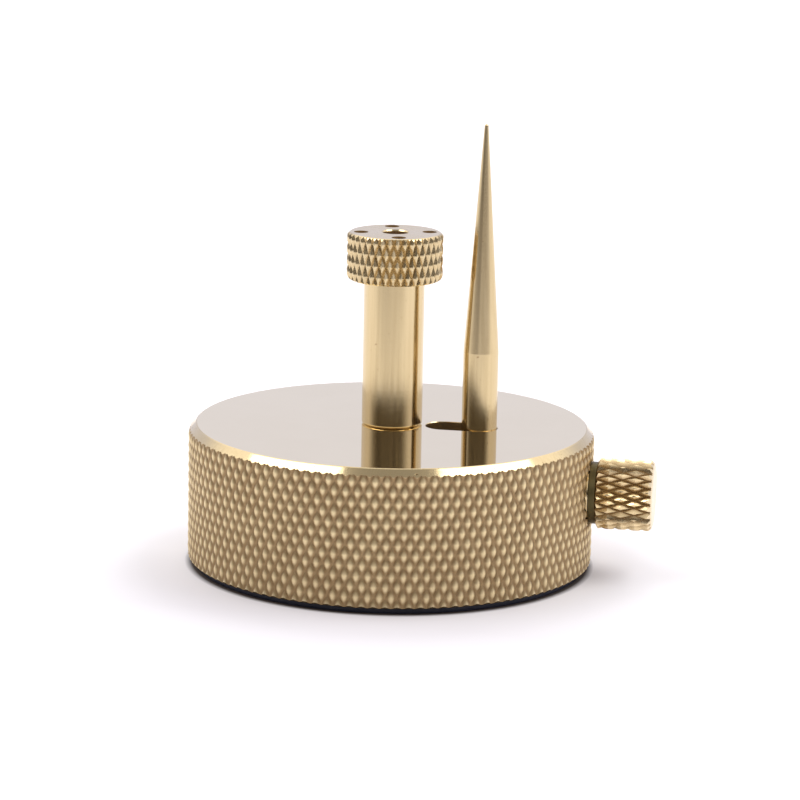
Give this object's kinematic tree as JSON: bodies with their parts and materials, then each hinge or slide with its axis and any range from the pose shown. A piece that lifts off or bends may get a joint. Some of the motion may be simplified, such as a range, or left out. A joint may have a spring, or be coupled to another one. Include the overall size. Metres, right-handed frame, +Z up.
{
  "type": "adjustable balance stand",
  "caption": "Round knurled brass base with a centre column and turning head, and an upright needle pin that a knob on the rim moves along a radial slot.",
  "frame": {"origin": "where the column's axis meets the surface that the pad rests on", "axes": "+Z up along the column, +X from the column along the slot to the knob"},
  "size_m": [0.0461, 0.04, 0.0439],
  "materials": {
    "knurled_brass": "diamond knurled, polished ends",
    "turned_brass": "turned and polished",
    "steel": "turned",
    "rubber": "matt"
  },
  "bodies": {
    "stand": {"base_body": "knurled_brass", "rubber_pad": "rubber", "bottom_cover": "turned_brass", "cover_screws": "steel", "column_post": "turned_brass", "column_screw": "steel", "head_ring": "steel"},
    "head": {"turret_head": "knurled_brass"},
    "pin_slider": {"slider_block": "turned_brass", "taper_pin": "turned_brass"},
    "knob_screw": {"adjusting_screw": "steel", "adjusting_knob": "knurled_brass", "knob_grub_screw": "steel", "thrust_washer": "turned_brass", "clip_washer": "steel", "retaining_clip": "steel"}
  },
  "joints": [
    {"name": "knob_turn", "type": "hinge", "parent": "stand", "child": "knob_screw", "pos_m": [0.0195, 0, 0.0081], "axis": [1, 0, 0], "range_deg": [0, 1872]},
    {"name": "pin_slide", "type": "slide", "parent": "stand", "child": "pin_slider", "axis": [-1, 0, 0], "range_m": [0, 0.0026]},
    {"name": "head_turn", "type": "hinge", "parent": "stand", "child": "head", "pos_m": [0, 0, 0.0305], "axis": [0, 0, 1], "continuous": true}
  ],
  "couplings": [
    {"joint": "knob_turn", "follows": "pin_slide", "rad_per_m": 12566}
  ]
}
